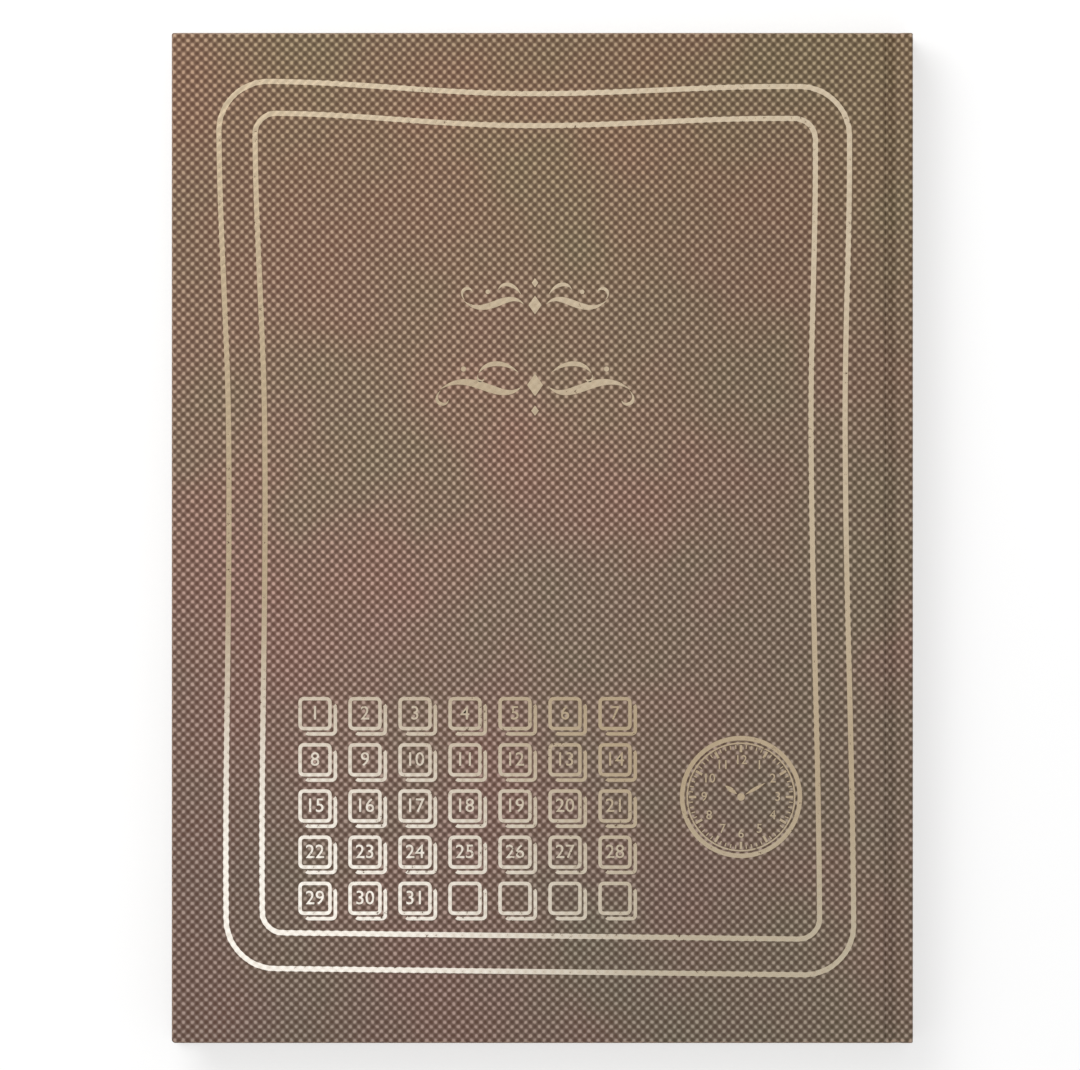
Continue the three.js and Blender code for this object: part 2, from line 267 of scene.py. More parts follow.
def make_dot_lattice():
    """The embossed dots: where they show pale, and their height."""
    tree, n, given, out = effect("dot lattice", {"Wander": 0.3}, ["Dots", "Height"])
    place = given["Place"]
    drift = n.vector("SUBTRACT", n.noise(place, 0.55, 1.0, output="Color"), (0.5, 0.5, 0.5))
    x, y, _ = n.parts(n.vector("ADD", place, n.scaled(drift, given["Wander"])))
    across = n.times(n.minus(x, BOARD_EDGE), pi / HALF_DOT_X)
    along = n.times(y, pi / HALF_DOT_Y)
    height = n.linear(n.times(n.math("COSINE", across), n.math("COSINE", along)), 0.5, 0.5)
    uneven = n.linear(n.noise(place, 0.7, 1.0), 0.5, -0.25)
    peak = n.plus(height, n.times(uneven, height), clamp=True)
    surround = n.times(n.math("POWER", peak, DOT_SOFTNESS), 1 - DOT_CROWN)
    n.put(out["Dots"], n.linear(n.ramp(peak, *DOT_EDGE), DOT_CROWN, surround))
    n.put(out["Height"], height)
    return tree


def make_fibres():
    """Short paper fibres and cloudy tone."""
    tree, n, given, out = effect("paper fibres", {"Size": 1.0}, ["Fibres", "Cloud"])
    sized = n.scaled(given["Place"], given["Size"])
    ways = [n.noise(n.stretched(sized, stretch), 2.2, 3.0, 0.65) for stretch in FIBRE_STRETCHES]
    n.put(out["Fibres"], n.ramp(n.linear(n.plus(*ways), 0.5, 0.0), 0.36, 0.64))
    n.put(out["Cloud"], n.ramp(n.noise(sized, 0.06, 3.0), 0.3, 0.7))
    return tree


def make_flecks():
    """Places where foil hasn't taken, more of them in the hollows between dots."""
    tree, n, given, out = effect("missing flecks", {"Hollows": 0.5, "Amount": 0.5}, ["Missing"])
    blotch = n.noise(given["Place"], 0.16, 2.0)
    grain = n.noise(given["Place"], 2.6, 2.0, 0.7)
    chance = n.linear(n.minus(1.0, given["Hollows"]), 0.22, n.times(grain, 0.62))
    chance = n.plus(chance, n.times(n.minus(blotch, 0.5), 0.5))
    limit = n.linear(given["Amount"], -0.4, 0.86)
    n.put(out["Missing"], n.times(n.minus(chance, limit), 14.0, clamp=True))
    return tree


dot_lattice = make_dot_lattice()
fibres_effect = make_fibres()
flecks_effect = make_flecks()


# ---- materials
NO_TINT = (1, 1, 1, 1)
PAGE_INK = (134, 148, 156)


class Surface(Nodes):
    """A material with one Principled BSDF, whose plain sockets are set first."""

    def __init__(self, name, **sockets):
        self.material = bpy.data.materials.new(name)
        self.material.use_nodes = True
        super().__init__(self.material.node_tree)
        self.shader = self.tree.nodes["Principled BSDF"]
        self.feed(self.shader, **sockets)

    def object_place(self):
        """The place in the piece's own frame, in millimetres."""
        return self.stretched(self.add("ShaderNodeTexCoord").outputs["Object"], (1 / METRES,) * 3)

    def surface_place(self):
        """The place on the unrolled surface, in millimetres."""
        return self.add("ShaderNodeUVMap", uv_map="unrolled").outputs["UV"]

    def finish(self, height, distance, **values):
        """Feeds the shader, and bumps it by the height times a distance in millimetres."""
        inputs = {"Height": height, "Distance": distance * METRES, "Strength": 1.0}
        bump = self.add("ShaderNodeBump", inputs).outputs["Normal"]
        self.feed(self.shader, Normal=bump, **values)
        return self.material


def make_covering():
    n = Surface("embossed covering", Specular_IOR_Level=0.3)
    place = n.surface_place()
    x, y, _ = n.parts(place)
    lattice = n.group(dot_lattice, Place=place, Wander=0.42)

    # Cloudy patches, redder and greener, in the ground and on the dots
    patch = n.ramp(n.linear(x, 0.0007, n.noise(place, 0.017, 3.0)), 0.3, 0.7)
    tint = n.ramp(n.noise(n.vector("ADD", place, (400, 90, 0)), 0.05, 3.0), 0.35, 0.7)
    broad = n.ramp(n.noise(n.vector("ADD", place, (-300, 500, 0)), 0.011, 1.0), 0.36, 0.64)
    ground = n.mix(patch, (97, 62, 48), (84, 69, 48))
    ground = n.mix(n.times(tint, 0.4), ground, (90, 63, 53))
    grain = n.noise(place, 4.0, 3.0, 0.65)
    ground = n.mix(n.linear(grain, 0.9, -0.3, clamp=True), ground, (66, 46, 35))
    dots = n.mix(patch, (192, 156, 143), (182, 164, 142))
    dots = n.mix(n.times(broad, 0.5), dots, (178, 155, 142))
    colour = n.mix(lattice["Dots"], ground, dots)

    # Painted shade, darker away from the middle; warmer to the head; and painted shade at the tail, darker
    # and cooler, less so by the spine
    from_middle = n.add("ShaderNodeVectorMath", operation="LENGTH")
    around = n.stretched(n.vector("ADD", place, (30, -15, 0)), (0.0083, 0.0067, 0.0))
    n.put(from_middle.inputs[0], around)
    painted_edge_shade = n.ramp(from_middle.outputs["Value"], 0.2, 1.1, 0.0, 0.13)
    colour = n.mix(painted_edge_shade, colour, (40, 30, 20))
    warm = n.ramp(y, -60.0, 150.0)
    colour = n.stretched(colour, n.mix(warm, (1, 1, 1.02, 1), (1.01, 1.01, 0.8, 1)))
    # Painted shade at the tail, less so by the spine
    painted_tail_shade = n.times(n.ramp(y, -100.0, -30.0, 1, 0), n.ramp(x, 40.0, 100.0, 1, 0.3))
    colour = n.stretched(colour, n.mix(painted_tail_shade, NO_TINT, (0.89, 0.98, 0.99, 1)))

    # Rubbed edges
    uneven = n.linear(n.noise(place, 0.9, 4.0, 0.65), 0.8, n.times(lattice["Height"], 0.25))
    wear = n.times(n.ramp(n.times(n.stored("wear"), uneven), 0.42, 0.62), 0.55)
    rough = n.linear(wear, 0.2, n.linear(lattice["Dots"], -0.08, 0.6))
    height = n.linear(grain, 0.3, lattice["Height"])
    return n.finish(height, 0.06, Base_Color=n.mix(wear, colour, (176, 150, 130)), Roughness=rough)


def make_foil():
    n = Surface("gold foil", Specular_IOR_Level=0.5)
    place = n.object_place()
    x, y, _ = n.parts(place)
    lattice = n.group(dot_lattice, Place=place, Wander=0.3)
    missing = n.group(flecks_effect, Place=place, Hollows=lattice["Height"], Amount=0.7)["Missing"]

    # Painted light, brighter to the head and the spine, over a random cloudy tone; greyer at the tail; and a
    # painted highlight, pale round the tail's fore-edge corner
    cloudy = n.linear(n.noise(place, 0.02, 2.0), 0.4, n.times(y, 0.0054))
    tone = n.ramp(n.linear(x, 0.0045, cloudy), 0.0, 1.1)
    # Painted highlight: distance from the pale patch round the tail's fore-edge corner
    across = n.times(n.plus(x, 85.0), 0.0095)
    along = n.times(n.plus(y, 122.0), 0.0115)
    painted_highlight_distance = n.math("SQRT", n.plus(n.math("POWER", across, 2.0), n.math("POWER", along, 2.0)))
    gold = n.mix(tone, (174, 156, 129), (198, 183, 159))
    gold = n.mix(n.ramp(y, -118.0, -62.0, 1, 0), gold, (183, 172, 151))
    # Painted highlight: pale round the tail's fore-edge corner
    gold = n.mix(n.ramp(painted_highlight_distance, 0.2, 1.3, 1.0, 0.0), gold, (252, 247, 238))

    shaded = n.mix(n.linear(lattice["Height"], -0.38, 0.38), gold, (158, 138, 110))
    scuffed = n.linear(n.noise(place, 0.8, 3.0), 0.2, 0.24)
    n.feed(n.shader, Metallic=n.linear(missing, -0.85, 0.85), Roughness=n.plus(scuffed, missing, clamp=True))
    return n.finish(lattice["Height"], 0.045, Base_Color=n.mix(missing, shaded, (84, 62, 47)))


# Printed lines of an appointment page, as places on it
RULE_PITCH = 8.0
RULE_WIDTH = 0.22
RULE_STRENGTH = 0.62
HEADER_LINES = (118.0, 119.2, 132.0)
LAST_ROW = -130.5
ROW_MIDDLE, ROW_REACH = -4.0, 90.0
COLUMN_LINES = (-74.0, -73.0, 8.0, 62.0)
COLUMN_MIDDLE, COLUMN_REACH = 0.75, 131.25


def ruling(n, place):
    """Where an appointment page is ruled, with rows, columns and a headed top: the share of its ink."""
    across, along, _ = n.parts(place)
    beside = n.math("PINGPONG", n.minus(along, HEADER_LINES[0]), RULE_PITCH / 2)
    rows = n.math("LESS_THAN", beside, RULE_WIDTH / 2)
    rows = n.times(rows, n.math("LESS_THAN", along, HEADER_LINES[0] + 1))
    rows = n.times(rows, n.math("GREATER_THAN", along, LAST_ROW))
    for line in HEADER_LINES:
        rows = n.math("MAXIMUM", rows, n.math("COMPARE", along, line, RULE_WIDTH / 2))
    lines = n.times(rows, n.math("COMPARE", across, ROW_MIDDLE, ROW_REACH))
    for line in COLUMN_LINES:
        column = n.math("COMPARE", across, line, RULE_WIDTH / 2)
        column = n.times(column, n.math("COMPARE", along, COLUMN_MIDDLE, COLUMN_REACH))
        lines = n.math("MAXIMUM", lines, column)
    return n.times(lines, RULE_STRENGTH)


def make_paper(name, colour, aged, ruled=False, size=1.0):
    """A page paper: fibres, a cloudy tone, ruled lines where it is printed, and its cut edges."""
    n = Surface(name, Specular_IOR_Level=0.2, Roughness=0.86)
    place = n.surface_place()
    fibre = n.group(fibres_effect, Place=place, Size=size)
    tone = n.mix(n.times(fibre["Cloud"], 0.55), colour, aged)
    tone = n.mix(n.times(fibre["Fibres"], 0.1), tone, [part * 0.86 for part in aged])
    if ruled:
        tone = n.mix(ruling(n, place), tone, PAGE_INK)
    edge = n.mix(n.stored("wear"), (240, 233, 219), (200, 188, 166))
    return n.finish(fibre["Fibres"], 0.012, Base_Color=n.mix(n.stored("cut edge"), tone, edge))


def make_page_block():
    """The sewn signatures: ruled paper on the faces, and fine layers where the edges are trimmed."""
    n = Surface("trimmed page edges", Specular_IOR_Level=0.2, Roughness=0.88)
    place = n.object_place()
    fibre = n.group(fibres_effect, Place=place)
    layers = n.noise(n.stretched(place, (0.012, 0.012, 5.5)), 1.0, 3.0, 0.7)
    clusters = n.noise(n.stretched(place, (0.02, 0.02, 1.1)), 1.0, 2.0, 0.5)
    normal = n.parts(n.add("ShaderNodeTexCoord").outputs["Normal"])
    edge = n.math("LESS_THAN", n.math("ABSOLUTE", normal["Z"]), 0.7)
    page = n.mix(n.times(fibre["Cloud"], 0.5), (240, 233, 220), (232, 224, 208))
    page = n.mix(n.times(ruling(n, place), n.minus(1.0, edge)), page, PAGE_INK)
    trimmed = n.mix(n.ramp(layers, 0.34, 0.66), (203, 191, 170), (242, 235, 222))
    trimmed = n.mix(n.ramp(clusters, 0.35, 0.65, 0.0, 0.45), trimmed, (222, 210, 187))
    return n.finish(n.times(layers, edge), 0.08, Base_Color=n.mix(edge, page, trimmed))


def make_plain(name, colours, stretch, rough, distance, pattern=None):
    """A fibrous plain material, such as board, kraft, mull or thread."""
    n = Surface(name, Specular_IOR_Level=0.25, Roughness=rough)
    fibre = n.group(fibres_effect, Place=n.stretched(n.object_place(), stretch))
    dark, light, clouded = colours
    tone = n.mix(fibre["Fibres"], dark, light)
    tone = n.mix(n.times(fibre["Cloud"], 0.4), tone, clouded)
    height = pattern(n, fibre["Fibres"]) if pattern else fibre["Fibres"]
    return n.finish(height, distance, Base_Color=tone)


def open_weave(n, height):
    """Mull's open weave of thin threads, as height."""
    x, y, _ = n.parts(n.object_place())
    warp, weft = (n.math("ABSOLUTE", n.math("SINE", n.times(way, 4.2))) for way in (x, y))
    return n.linear(height, 0.2, n.math("MAXIMUM", warp, weft))


def twisted(n, height):
    """The twist of sewing thread, as height."""
    _, y, z = n.parts(n.object_place())
    turn = n.linear(y, 9.0, n.times(z, 6.0))
    return n.linear(height, 0.3, n.math("ABSOLUTE", n.math("SINE", turn)))


BEAD_PITCH = BLOCK_THICKNESS / 16


def make_headband_silk():
    n = Surface("striped headband silk", Specular_IOR_Level=0.4, Sheen_Weight=0.3)
    place = n.object_place()
    turn = n.times(n.minus(n.parts(place)["Z"], BLOCK_LIFT), pi / BEAD_PITCH)
    threads = n.noise(n.stretched(place, (1.0, 1.0, 7.0)), 1.6, 3.0, 0.6)
    colour = n.mix(n.ramp(n.math("SINE", turn), -0.25, 0.25), (120, 44, 36), (214, 196, 140))
    colour = n.mix(n.times(threads, 0.4), colour, (150, 120, 80))
    return n.finish(threads, 0.06, Base_Color=colour, Roughness=n.linear(threads, 0.25, 0.35))


BOARD_TONES = ((122, 117, 108), (146, 141, 131), (132, 122, 108))
KRAFT_TONES = ((150, 118, 80), (176, 144, 102), (160, 130, 92))
MULL_TONES = ((196, 188, 168), (222, 216, 200), (208, 200, 180))
THREAD_TONES = ((214, 208, 194), (240, 236, 226), (226, 220, 206))

covering = make_covering()
foil = make_foil()
page_paper = make_paper("ruled page paper", (241, 235, 223), (233, 226, 211), ruled=True)
endpaper = make_paper("endpaper", (238, 231, 216), (229, 220, 200), size=0.8)
page_block = make_page_block()
greyboard = make_plain("greyboard", BOARD_TONES, (1, 1, 4), 0.93, 0.05)
kraft = make_plain("kraft lining", KRAFT_TONES, (1, 1, 1), 0.85, 0.03)
mull = make_plain("mull", MULL_TONES, (1, 1, 1), 0.95, 0.12, open_weave)
thread = make_plain("linen thread", THREAD_TONES, (2, 2, 2), 0.7, 0.1, twisted)
headband_silk = make_headband_silk()


# ---- making pieces
def side_height(side, depth):
    """The height of a depth under that cover's outer face."""
    return CASE_THICKNESS - depth if side == "front" else depth


def evenly(start, end, steps):
    return [start + (end - start) * step / steps for step in range(steps + 1)]


def mirrored(upper):
    """Rows from the tail to the head, from those of the upper half, which start at 0."""
    return [-row for row in reversed(upper[1:])] + upper


def unroll(bm, place_of):
    """Gives each face's corners their place on the unrolled surface, in millimetres."""
    unrolled = bm.loops.layers.uv.new("unrolled")
    for face in bm.faces:
        for loop in face.loops:
            loop[unrolled].uv = place_of(face, loop.vert)


def sheet(columns, rows, place, wear=None):
    """A grid whose columns and rows lie at the given places of the unrolled surface, put in place."""
    bm = bmesh.new()
    ops.create_grid(bm, x_segments=len(columns) - 1, y_segments=len(rows) - 1, size=1)
    worn = bm.verts.layers.float.new("wear")
    spread = bm.verts.layers.float_vector.new("spread")
    for vertex in bm.verts:
        column = columns[round((vertex.co.x + 1) / 2 * (len(columns) - 1))]
        row = rows[round((vertex.co.y + 1) / 2 * (len(rows) - 1))]
        vertex[spread] = (column, row, 0)
        vertex[worn] = wear(column, row) if wear else 0.0
        vertex.co = place(column, row)
    unroll(bm, lambda face, vertex: vertex[spread].xy)
    return bm


def thicken(bm, thickness):
    """Gives a flat open sheet its thickness behind its face, and marks its cut edges."""
    bm.normal_update()
    ops.solidify(bm, geom=bm.faces[:], thickness=thickness)
    point_outward(bm)
    bm.normal_update()
    cut = bm.faces.layers.float.new("cut edge")
    for face in bm.faces:
        face[cut] = float(abs(face.normal.z) < 0.5)


def weld(bm):
    ops.remove_doubles(bm, verts=bm.verts[:], dist=1e-4)


def point_outward(bm):
    ops.recalc_face_normals(bm, faces=bm.faces[:])


def move(bm, way, points):
    ops.translate(bm, vec=way, verts=points)


def new_points(made):
    """The points among what an operator has made."""
    return [v for v in made["geom"] if isinstance(v, bmesh.types.BMVert)]


def line_inside(bm, place):
    """Closes an open sheet with an inner face, at the place that is given for each point of the surface."""
    spread = bm.verts.layers.float_vector["spread"]
    for vertex in new_points(ops.extrude_face_region(bm, geom=bm.faces[:])):
        vertex.co = place(vertex[spread].x, vertex[spread].y)
    point_outward(bm)


def round_off(bm, geom, radius, affect="EDGES"):
    """Rounds edges, or the corners of a flat face, in four steps."""
    settings = {"offset_type": "OFFSET", "affect": affect, "segments": 4, "profile": 0.5, "material": -1}
    ops.bevel(bm, geom=geom, offset=radius, **settings)


def add_box(bm, size, middle):
    box = ops.create_cube(bm, size=1)["verts"]
    ops.scale(bm, vec=size, verts=box)
    move(bm, middle, box)


def face_outward(bm, side):
    """Turns the faces of a back piece, whose outer side lies below."""
    if side == "back":
        ops.reverse_faces(bm, faces=bm.faces[:])


def finish_piece(name, bm, material, sharp=40):
    """Turns a bmesh in millimetres into a named object in metres."""
    ops.scale(bm, vec=(METRES,) * 3, verts=bm.verts[:])
    mesh = bpy.data.meshes.new(name)
    bm.to_mesh(mesh)
    bm.free()
    mesh.polygons.foreach_set("use_smooth", [True] * len(mesh.polygons))
    mesh.set_sharp_from_angle(angle=radians(sharp))
    mesh.materials.append(material)
    return in_scene(name, mesh)


# ---- covers
INNER_EDGE_ROUND = 0.6
CORNER_ROUND = {"head": 0.6, "tail": 1.0}
CORNER_REACH = 1.5
COVERING_THICKNESS = 0.3
TURN_IN_SETTLED = 2.0
CLOSE = 0.01
FACE_START = FORE_EDGE + EDGE_ROUND
FACE_TOP = HEAD - EDGE_ROUND
LAP_X = (99.01, 99.12)
LAP_DEPTH = (0.42, COVER_THICKNESS - 0.04)
FOLD_TOP = HEAD - 0.05


def edge_profile():
    """Rings round a board's three covered edges: how far out, how deep, the run of covering and its wear."""
    rings = []
    for step in range(1, 5):
        angle = pi / 8 * step
        out, deep = EDGE_ROUND * sin(angle), EDGE_ROUND * (1 - cos(angle))
        rings.append((out, deep + RELIEF_MEAN * cos(angle), EDGE_ROUND * angle, 1.0 if step < 4 else 0.4))
    side_end = COVER_THICKNESS - INNER_EDGE_ROUND
    run = EDGE_ROUND * pi / 2 + (side_end - EDGE_ROUND)
    rings.append((EDGE_ROUND, side_end, run, 0.3))
    for step in range(1, 4):
        angle = pi / 6 * step
        out = EDGE_ROUND - INNER_EDGE_ROUND * (1 - cos(angle))
        rings.append((out, side_end + INNER_EDGE_ROUND * sin(angle), run + INNER_EDGE_ROUND * angle, 0.6))
    run += INNER_EDGE_ROUND * pi / 2
    settled, end = TURN_IN_SETTLED, TURN_IN - EDGE_ROUND
    rings.append((-settled, COVER_THICKNESS, run + settled + EDGE_ROUND - INNER_EDGE_ROUND, 0.0))
    rings.append((-end, COVER_THICKNESS, run + end, 0.0))
    return rings


def spread_rectangle(point, out):
    """A point on the border of the board's flat face, moved out with the whole border."""
    x = BOARD_EDGE - (BOARD_EDGE - point.x) * (FACE_WIDTH + out) / FACE_WIDTH
    return x, point.y * (FACE_HEIGHT + 2 * out) / FACE_HEIGHT


def cover_covering(side):
    """The covering of one board: an embossed face, rounded edges and corners, and turn-ins."""
    bm = bmesh.new()
    ops.create_grid(bm, x_segments=DOT_COLUMNS, y_segments=DOT_ROWS, size=1)
    base = bm.verts.layers.float_vector.new("base")
    turned = bm.verts.layers.float.new("turned")
    worn = bm.verts.layers.float.new("wear")
    for vertex in bm.verts:
        vertex.co.x = BOARD_EDGE - (1 - vertex.co.x) * FACE_WIDTH / 2
        vertex.co.y *= FACE_HEIGHT / 2
        vertex[base] = vertex.co
    border = [e for e in bm.edges if e.is_boundary and min(v.co.x for v in e.verts) < BOARD_EDGE - CLOSE]
    for vertex in bm.verts:
        vertex.co.z = relief_depth(vertex.co.x, vertex.co.y)
    for out, deep, run, wear in edge_profile():
        made = ops.extrude_edge_only(bm, edges=border)
        ring = set(new_points(made))
        border = [e for e in made["geom"] if isinstance(e, bmesh.types.BMEdge) and set(e.verts) <= ring]
        for vertex in ring:
            vertex[turned] = run
            vertex[worn] = wear
            vertex.co = (*spread_rectangle(vertex[base], out), deep)

    def on_surface(face, vertex):
        (x, y, _), (base_x, base_y, _), run = vertex.co, vertex[base], vertex[turned]
        if any(v[turned] for v in face.verts):
            if all(v[base].x < FACE_START + CLOSE for v in face.verts):
                x = base_x - run
            else:
                y = base_y + copysign(run, base_y)
        return x, y

    def at_corner(vertex, end):
        (x, y, _), (base_x, base_y, _) = vertex.co, vertex[base]
        near = x < FORE_EDGE + CORNER_REACH and (y > 0) == (end == "head")
        return near and base_x < FACE_START + CLOSE and abs(base_y) > FACE_TOP - CLOSE

    unroll(bm, on_surface)
    for end, radius in CORNER_ROUND.items():
        round_off(bm, [e for e in bm.edges if all(at_corner(v, end) for v in e.verts)], radius)
    for vertex in bm.verts:
        vertex.co.z = side_height(side, vertex.co.z)
    face_outward(bm, side)
    made = finish_piece(f"{side}_board_covering", bm, covering)
    shell = made.modifiers.new("thickness", "SOLIDIFY")
    shell.thickness = COVERING_THICKNESS * METRES
    shell.offset = -1
    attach(made, f"{side}_cover")
    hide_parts(f"{side}_cover_cloth")


def joint_lap(side):
    """The covering that is pressed down over the board's long edge in the joint."""
    bm = bmesh.new()
    low, high = LAP_DEPTH
    middle = (sum(LAP_X) / 2, 0, side_height(side, (low + high) / 2))
    add_box(bm, (LAP_X[1] - LAP_X[0], 2 * FOLD_TOP, high - low), middle)
    round_off(bm, [e for e in bm.edges if abs(e.verts[0].co.x - e.verts[1].co.x) > CLOSE], INNER_EDGE_ROUND)
    unroll(bm, lambda face, vertex: (BOARD_EDGE + abs(side_height(side, vertex.co.z)), vertex.co.y))
    made = finish_piece(f"{side}_joint_lap", bm, covering)
    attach(made, f"{side}_cover")


for cover_side in SIDES:
    cover_covering(cover_side)
    joint_lap(cover_side)


# ---- joints and spine
SKIN_START = 99.35
SKIN_THICKNESS = 0.38
HEM_RADIUS = 0.42
HEM_START = HEAD - HEM_RADIUS
CORNER_STEPS = 8
CLOSEST_COLUMNS = 0.12
SPINE_WEAR_WIDTH = 1.1
CAP_INSET = 0.5
CAP_X = (104.08, SPINE_FACE - CAP_INSET)
CAP_ROUND = 0.35
TURNING_START = 98.95
FOLD_UNDER_X = 98.9
FOLD_TUCK = 0.22
FOLD_THICKNESS = 0.3


def spine_path():
    """The section of the loose covering, from joint to joint round the spine: places and inward ways."""
    half = []
    groove = GROOVE_END - JOINT_START
    for x in np.linspace(SKIN_START, GROOVE_END, 33):
        turn = 2 * pi * ((x - JOINT_START) / groove)
        slope = GROOVE_DEPTH * pi / groove * sin(turn)
        length = hypot(1, slope)
        half.append((x, GROOVE_DEPTH * (1 - cos(turn)) / 2, -slope / length, 1 / length))
    flat_end = SPINE_FACE - SPINE_CORNER_RADIUS
    for x in np.linspace(GROOVE_END, flat_end, 4)[1:]:
        half.append((x, 0.0, 0.0, 1.0))
    for step in range(1, CORNER_STEPS + 1):
        angle = pi / 2 / CORNER_STEPS * step
        across, deep, radius = sin(angle), cos(angle), SPINE_CORNER_RADIUS
        half.append((flat_end + radius * across, radius * (1 - deep), -across, deep))
    front = [(x, CASE_THICKNESS - deep, in_x, -in_z) for x, deep, in_x, in_z in half]
    path = np.array(front + half[::-1])
    steps = np.hypot(np.diff(path[:, 0]), np.diff(path[:, 1]))
    return np.concatenate([[SKIN_START], SKIN_START + np.cumsum(steps)]), path


spine_run, spine_places = spine_path()
spine_middle = (spine_run[0] + spine_run[-1]) / 2


def hem(v, deeper):
    """How far in and how far along the covering lies where it folds over at the head and the tail."""
    past = abs(v) - HEM_START
    radius = HEM_RADIUS - deeper
    if past <= 0:
        return deeper, v
    if past <= pi * HEM_RADIUS:
        angle = past / HEM_RADIUS
        along = HEM_START + radius * sin(angle)
        return HEM_RADIUS - radius * cos(angle), copysign(along, v)
    return HEM_RADIUS + radius, copysign(HEM_START - (past - pi * HEM_RADIUS), v)


def spine_place(u, v, deeper=0.0):
    x, z, in_x, in_z = (np.interp(u, spine_run, spine_places[:, k]) for k in range(4))
    inward, along = hem(v, deeper)
    inward += relief_depth(u, v) if abs(v) < HEM_START else RELIEF_MEAN
    return x + in_x * inward, along, z + in_z * inward


def spine_wear(u, v):
    """Wear along the two long edges of the spine and at its ends."""
    from_edge = abs(abs(u - spine_middle) - (CASE_THICKNESS / 2 - 0.2))
    at_end = HEM_START - 0.5 < abs(v) < HEAD + 0.4
    return max(0.0, 1 - from_edge / SPINE_WEAR_WIDTH, float(at_end))


def hem_rows():
    """Rows of the spine's covering, from its turn-in at the tail to its turn-in at the head."""
    upper = [HALF_DOT_Y * step for step in range(DOT_ROWS // 2 + 1)]
    upper += [HEM_START + HEM_RADIUS * pi / 6 * step for step in range(7)]
    upper.append(HEM_START + HEM_RADIUS * pi + TURN_IN - HEM_RADIUS)
    return mirrored(upper)


def spine_columns():
    """Columns of the spine's covering: every quarter dot, and close together round the two long corners."""
    middle = len(spine_run) // 2
    corners = list(spine_run[middle - CORNER_STEPS - 1 : middle + CORNER_STEPS + 1])
    kept = [SKIN_START, float(spine_run[-1]), *corners]
    step = HALF_DOT_X / 2
    for count in range(1, int((spine_run[-1] - BOARD_EDGE) / step)):
        column = BOARD_EDGE + count * step
        if min(abs(column - other) for other in kept) > CLOSEST_COLUMNS:
            kept.append(column)
    return sorted(kept)


def spine_covering():
    bm = sheet(spine_columns(), hem_rows(), spine_place, spine_wear)
    line_inside(bm, lambda u, v: spine_place(u, v, SKIN_THICKNESS))
    made = finish_piece("spine_covering", bm, covering, sharp=60)
    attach(made, "text_block")
    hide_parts("spine_cloth")


def spine_cap(end):
    """Covering folded over the spine board's end and down its inner face."""
    low_x, high_x = CAP_X
    middle = (low_x + high_x) / 2, end * (FOLD_TOP - TURN_IN / 2), CASE_THICKNESS / 2

    def on_surface(face, vertex):
        x, y, z = vertex.co
        return spine_middle + CASE_THICKNESS / 2 - z, end * (2 * HEAD + high_x - x - abs(y))

    bm = bmesh.new()
    add_box(bm, (high_x - low_x, TURN_IN, CASE_THICKNESS - 2 * CAP_INSET), middle)
    round_off(bm, [e for e in bm.edges if all(v.co.x < middle[0] for v in e.verts)], CAP_ROUND)
    unroll(bm, on_surface)
    made = finish_piece("spine_cap_head" if end > 0 else "spine_cap_tail", bm, covering)
    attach(made, "text_block")


def joint_bridge(side):
    """The narrow fold of covering that joins a board's covering to the joint."""

    def place(u, v):
        tuck = FOLD_TUCK if u < BOARD_EDGE - 0.04 else 0.0
        return u, v, side_height(side, RELIEF_MEAN + tuck)

    columns = [FOLD_UNDER_X, *evenly(TURNING_START + 0.02, SKIN_START + 0.02, 20)]
    bm = sheet(columns, evenly(-FOLD_TOP, FOLD_TOP, 40), place)
    face_outward(bm, side)
    thicken(bm, FOLD_THICKNESS)
    made = finish_piece(f"{side}_joint_fold", bm, covering)
    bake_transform(made)


spine_covering()
for piece_end in ENDS:
    spine_cap(piece_end)
for cover_side in SIDES:
    joint_bridge(cover_side)


# ---- paper
BEND_END = 87.15
LEAF_ROWS = evenly(-LEAF_HEAD, LEAF_HEAD, 6)
LEAF_COLUMNS = [*evenly(LEAF_FORE_EDGE, BEND_END, 8)[:-1], *evenly(BEND_END, HINGE_X, 20), SKIN_START]
FLYLEAF_COLUMNS = [*LEAF_COLUMNS[:-1], FOLD_X]
LEAF_BEND = (HINGE_X, BEND_END)
PASTEDOWN_BEND = (SKIN_START, TURNING_START)
ENDPAPER_STOCK = (ENDPAPER, endpaper, "endpaper")
PAGE_STOCK = (PAPER, page_paper, "page_paper")
TRIM_UNEVENNESS = 0.12
SLIT_END = 0.4

# The pastedown sinks where neither a turn-in nor the mull lies between it and the board.
SINK = 0.24
SLOPE = 1.8
MULL_REACH = 28.0
SINK_MARGIN = 0.3
SINK_X = (FORE_EDGE + TURN_IN - SINK_MARGIN, BOARD_EDGE - MULL_REACH + SINK_MARGIN)
SINK_Y = HEAD - TURN_IN + SINK_MARGIN
PASTEDOWN_ROWS = mirrored([0.0, 60.0, *evenly(SINK_Y - SLOPE, SINK_Y, 5), LEAF_HEAD])
PASTEDOWN_COLUMNS = [LEAF_FORE_EDGE, *evenly(SINK_X[0], SINK_X[0] + SLOPE, 5), 0.0]
PASTEDOWN_COLUMNS += [*evenly(SINK_X[1] - SLOPE, SINK_X[1], 5), 90.0, 98.0]
PASTEDOWN_COLUMNS += [*evenly(TURNING_START, SKIN_START, 24), FOLD_X]


def pastedown_sink(u, v):
    inside = min(u - SINK_X[0], SINK_X[1] - u, SINK_Y - abs(v))
    share = min(1.0, max(0.0, inside / SLOPE))
    return SINK * share * share * (3 - 2 * share)


